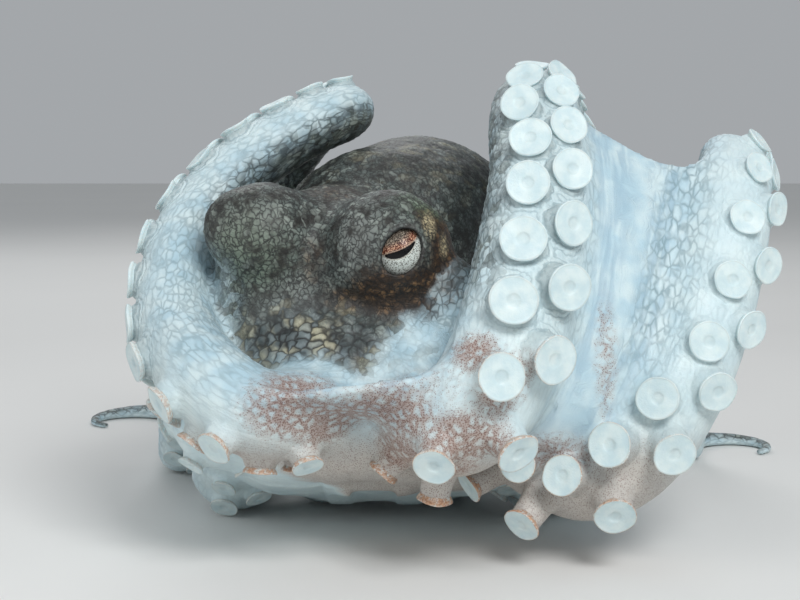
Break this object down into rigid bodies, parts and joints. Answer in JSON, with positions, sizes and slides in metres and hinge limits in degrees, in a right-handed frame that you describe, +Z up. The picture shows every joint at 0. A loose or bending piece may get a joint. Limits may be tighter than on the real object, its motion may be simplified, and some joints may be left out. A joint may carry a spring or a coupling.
{
  "type": "octopus",
  "caption": "Life-size still model of an octopus resting on the floor, with its two front arms curled up round the head and the suckers showing.",
  "frame": {"origin": "middle of the footprint's bounding box, at floor level", "axes": "+X to the animal's left, +Y to its rear, +Z up"},
  "size_m": [0.2758, 0.368, 0.145],
  "materials": {
    "skin": "damp mottled skin, dark on the head and pale on the arms",
    "web": "smooth pale skin",
    "eye": "wet eyeball with a slit pupil"
  },
  "bodies": {
    "root": {"arm_r1_1": "skin", "arm_r1_2": "skin", "arm_r1_3": "skin", "arm_r1_4": "skin", "arm_r2_1": "skin", "arm_r2_2": "skin", "arm_r2_3": "skin", "arm_r2_4": "skin", "arm_r3_1": "skin", "arm_r3_2": "skin", "arm_r3_3": "skin", "arm_r3_4": "skin", "arm_r4_1": "skin", "arm_r4_2": "skin", "arm_r4_3": "skin", "arm_r4_4": "skin", "arm_l1_1": "skin", "arm_l1_2": "skin", "arm_l1_3": "skin", "arm_l1_4": "skin", "arm_l2_1": "skin", "arm_l2_2": "skin", "arm_l2_3": "skin", "arm_l2_4": "skin", "arm_l3_1": "skin", "arm_l3_2": "skin", "arm_l3_3": "skin", "arm_l3_4": "skin", "arm_l4_1": "skin", "arm_l4_2": "skin", "arm_l4_3": "skin", "arm_l4_4": "skin", "crown": "skin", "funnel": "skin", "head": "skin", "mantle": "skin", "eye_l": "eye", "eye_r": "eye", "web_l1_l2": "web", "web_l2_l3": "web", "web_l3_l4": "web", "web_l4_r4": "web", "web_r1_l1": "web", "web_r2_r1": "web", "web_r3_r2": "web", "web_r4_r3": "web"}
  },
  "joints": []
}
